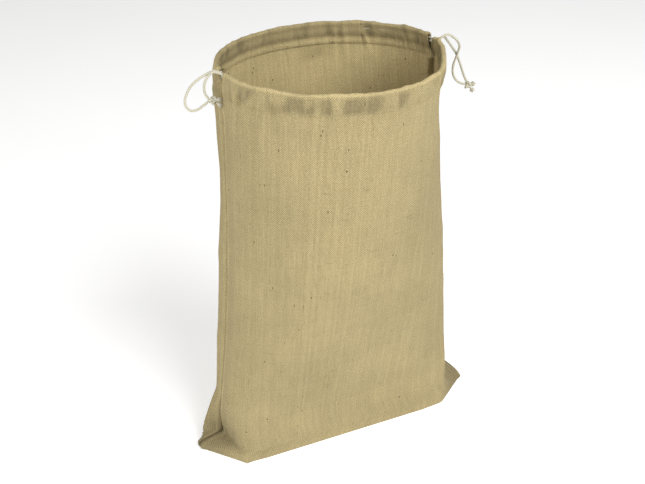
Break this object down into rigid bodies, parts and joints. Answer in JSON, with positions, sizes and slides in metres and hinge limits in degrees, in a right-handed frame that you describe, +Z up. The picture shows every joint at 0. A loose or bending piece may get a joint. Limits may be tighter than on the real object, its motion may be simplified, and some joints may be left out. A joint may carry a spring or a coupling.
{
  "type": "sack race bag",
  "caption": "Open jute sack for a sack race, with a drawcord channel round the mouth and a knotted pull loop at each side.",
  "frame": {"origin": "on the floor, under the middle of the sack", "axes": "+Z up, +X across the sack from the left slit to the right slit, -Y towards the front"},
  "size_m": [0.6334, 0.3328, 0.8559],
  "materials": {
    "jute": "plain-woven natural jute, matt, with slubs",
    "raw_jute": "raw cut jute edges, fraying",
    "thread": "twisted sewing thread, matt",
    "cotton_cord": "twisted cream cotton cord, matt"
  },
  "bodies": {
    "sack": {"front_panel": "jute", "back_panel": "jute", "left_seam_rib": "raw_jute", "right_seam_rib": "raw_jute", "base_seam_rib": "raw_jute", "left_seam_stitching": "thread", "right_seam_stitching": "thread", "base_seam_stitching": "thread", "front_hem_stitching": "thread", "back_hem_stitching": "thread", "left_drawcord_in_hem": "cotton_cord", "right_drawcord_in_hem": "cotton_cord"},
    "left_pull": {"left_front_strand": "cotton_cord", "left_back_strand": "cotton_cord", "left_knot": "cotton_cord", "left_front_tail": "cotton_cord", "left_back_tail": "cotton_cord"},
    "right_pull": {"right_front_strand": "cotton_cord", "right_back_strand": "cotton_cord", "right_knot": "cotton_cord", "right_front_tail": "cotton_cord", "right_back_tail": "cotton_cord"}
  },
  "joints": [
    {"name": "left_cord_pull", "type": "slide", "parent": "sack", "child": "left_pull", "axis": [-1, 0, 0], "range_m": [0, 0.08], "deforming": ["left_front_strand", "left_back_strand"]},
    {"name": "right_cord_pull", "type": "slide", "parent": "sack", "child": "right_pull", "axis": [1, 0, 0], "range_m": [0, 0.08], "deforming": ["right_front_strand", "right_back_strand"]}
  ]
}
